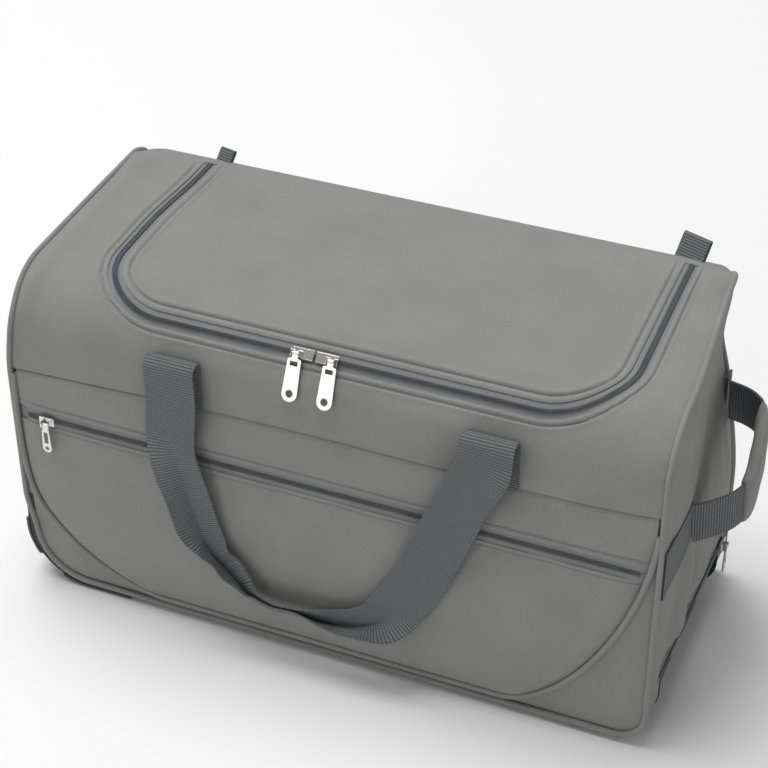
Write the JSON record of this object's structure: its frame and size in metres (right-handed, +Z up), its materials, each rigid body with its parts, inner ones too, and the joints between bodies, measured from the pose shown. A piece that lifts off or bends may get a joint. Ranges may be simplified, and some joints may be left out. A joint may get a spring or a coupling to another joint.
{
  "type": "rolling duffel bag",
  "caption": "Soft rolling duffel bag with a zipped lid, a front pocket, webbing carry straps, corner wheels, an end grab handle and a telescoping pull-out handle.",
  "frame": {"origin": "middle of the bag's bounding box, on the floor that the wheels and feet stand on", "axes": "+X along the bag to the end with the grab handle and the pull-out handle, -Y to the front with the pocket, +Z up"},
  "size_m": [0.659, 0.2882, 0.357],
  "materials": {
    "bag_fabric": "matte woven polyester",
    "webbing": "ribbed polypropylene webbing",
    "zip_tape": "knitted tape",
    "zip_coil": "satin",
    "black_plastic": "fine texture",
    "grey_plastic": "satin",
    "nickel": "bright",
    "tube_steel": "satin",
    "tyre_rubber": "matte",
    "lining_board": "matte",
    "bush_plastic": "satin",
    "button_red": "satin"
  },
  "bodies": {
    "shell": {"bottom_panel": "bag_fabric", "front_panel": "bag_fabric", "back_panel": "bag_fabric", "top_panel": "bag_fabric", "left_end_panel": "bag_fabric", "right_end_panel": "bag_fabric", "pocket_panel": "bag_fabric", "front_yoke": "bag_fabric", "edge_piping": "bag_fabric", "pocket_piping": "bag_fabric", "grab_sleeve": "bag_fabric", "top_zip_tape": "zip_tape", "pocket_zip_tape": "zip_tape", "foot_zip_tape": "zip_tape", "top_zip_coil": "zip_coil", "pocket_zip_coil": "zip_coil", "foot_zip_coil": "zip_coil", "zip_end_tabs": "webbing", "strap_roots": "webbing", "end_webbing": "webbing", "grab_loop": "webbing", "front_strap_folds": "webbing", "rear_strap_folds": "webbing", "base_board": "lining_board", "floor_cover": "lining_board", "front_wheel_housing": "black_plastic", "rear_wheel_housing": "black_plastic", "feet": "black_plastic", "handle_cup": "black_plastic", "corner_guards": "grey_plastic", "tube_saddles": "grey_plastic", "axles": "tube_steel", "screws": "tube_steel", "outer_tubes": "tube_steel"},
    "lid": {"lid_panel": "bag_fabric", "lid_zip_tape": "zip_tape", "lid_zip_coil": "zip_coil"},
    "left_slider": {"left_slider": "nickel"},
    "right_slider": {"right_slider": "nickel"},
    "left_pull": {"left_pull": "nickel"},
    "right_pull": {"right_pull": "nickel"},
    "pocket_slider": {"pocket_slider": "nickel"},
    "pocket_pull": {"pocket_pull": "nickel"},
    "foot_slider": {"foot_slider": "nickel"},
    "foot_pull": {"foot_pull": "nickel"},
    "front_strap": {"front_strap": "webbing"},
    "rear_strap": {"rear_strap": "webbing"},
    "front_wheel": {"front_tyre": "tyre_rubber", "front_hub": "grey_plastic", "front_bushes": "bush_plastic"},
    "rear_wheel": {"rear_tyre": "tyre_rubber", "rear_hub": "grey_plastic", "rear_bushes": "bush_plastic"},
    "middle_stage": {"middle_tubes": "tube_steel"},
    "grip_stage": {"inner_tubes": "tube_steel", "handle_grip": "black_plastic", "button_spring": "tube_steel"},
    "button": {"grip_button": "button_red", "push_rods": "tube_steel"}
  },
  "joints": [
    {"name": "lid_fold", "type": "hinge", "parent": "shell", "child": "lid", "pos_m": [-0.0155, 0.112, 0.344], "axis": [-1, 0, 0], "range_deg": [0, 100]},
    {"name": "left_slider_run", "type": "slide", "parent": "lid", "child": "left_slider", "axis": [-1, 0, 0], "range_m": [0, 0.07]},
    {"name": "right_slider_run", "type": "slide", "parent": "lid", "child": "right_slider", "axis": [1, 0, 0], "range_m": [0, 0.1]},
    {"name": "left_pull_swing", "type": "hinge", "parent": "left_slider", "child": "left_pull", "pos_m": [-0.044, -0.11537, 0.32121], "axis": [-1, 0, 0], "range_deg": [0, 110]},
    {"name": "right_pull_swing", "type": "hinge", "parent": "right_slider", "child": "right_pull", "pos_m": [-0.012, -0.11537, 0.32121], "axis": [-1, 0, 0], "range_deg": [0, 110]},
    {"name": "pocket_slider_run", "type": "slide", "parent": "shell", "child": "pocket_slider", "axis": [1, 0, 0], "range_m": [0, 0.535]},
    {"name": "pocket_pull_swing", "type": "hinge", "parent": "pocket_slider", "child": "pocket_pull", "pos_m": [-0.2845, -0.1392, 0.1945], "axis": [-1, 0, 0], "range_deg": [0, 110]},
    {"name": "foot_slider_run", "type": "slide", "parent": "shell", "child": "foot_slider", "axis": [0, -1, 0], "range_m": [0, 0.19]},
    {"name": "foot_pull_swing", "type": "hinge", "parent": "foot_slider", "child": "foot_pull", "pos_m": [0.2927, 0.092, 0.0605], "axis": [0, -1, 0], "range_deg": [0, 110]},
    {"name": "front_strap_lift", "type": "hinge", "parent": "shell", "child": "front_strap", "pos_m": [-0.0155, -0.13565, 0.291], "axis": [-1, 0, 0], "range_deg": [0, 175], "deforming": ["front_strap_folds"]},
    {"name": "rear_strap_lift", "type": "hinge", "parent": "shell", "child": "rear_strap", "pos_m": [-0.0155, 0.13565, 0.291], "axis": [1, 0, 0], "range_deg": [0, 175], "deforming": ["rear_strap_folds"]},
    {"name": "front_wheel_spin", "type": "hinge", "parent": "shell", "child": "front_wheel", "pos_m": [-0.2915, -0.104, 0.038], "axis": [0, 1, 0], "continuous": true},
    {"name": "rear_wheel_spin", "type": "hinge", "parent": "shell", "child": "rear_wheel", "pos_m": [-0.2915, 0.104, 0.038], "axis": [0, 1, 0], "continuous": true},
    {"name": "middle_stage_pull", "type": "slide", "parent": "shell", "child": "middle_stage", "axis": [1, 0, 0], "range_m": [0, 0.2]},
    {"name": "grip_stage_pull", "type": "slide", "parent": "middle_stage", "child": "grip_stage", "axis": [1, 0, 0], "range_m": [0, 0.2]},
    {"name": "button_press", "type": "slide", "parent": "grip_stage", "child": "button", "axis": [-1, 0, 0], "range_m": [0, 0.004], "stiffness_N_per_m": 400, "springref_m": -0.002, "deforming": ["button_spring"]}
  ]
}
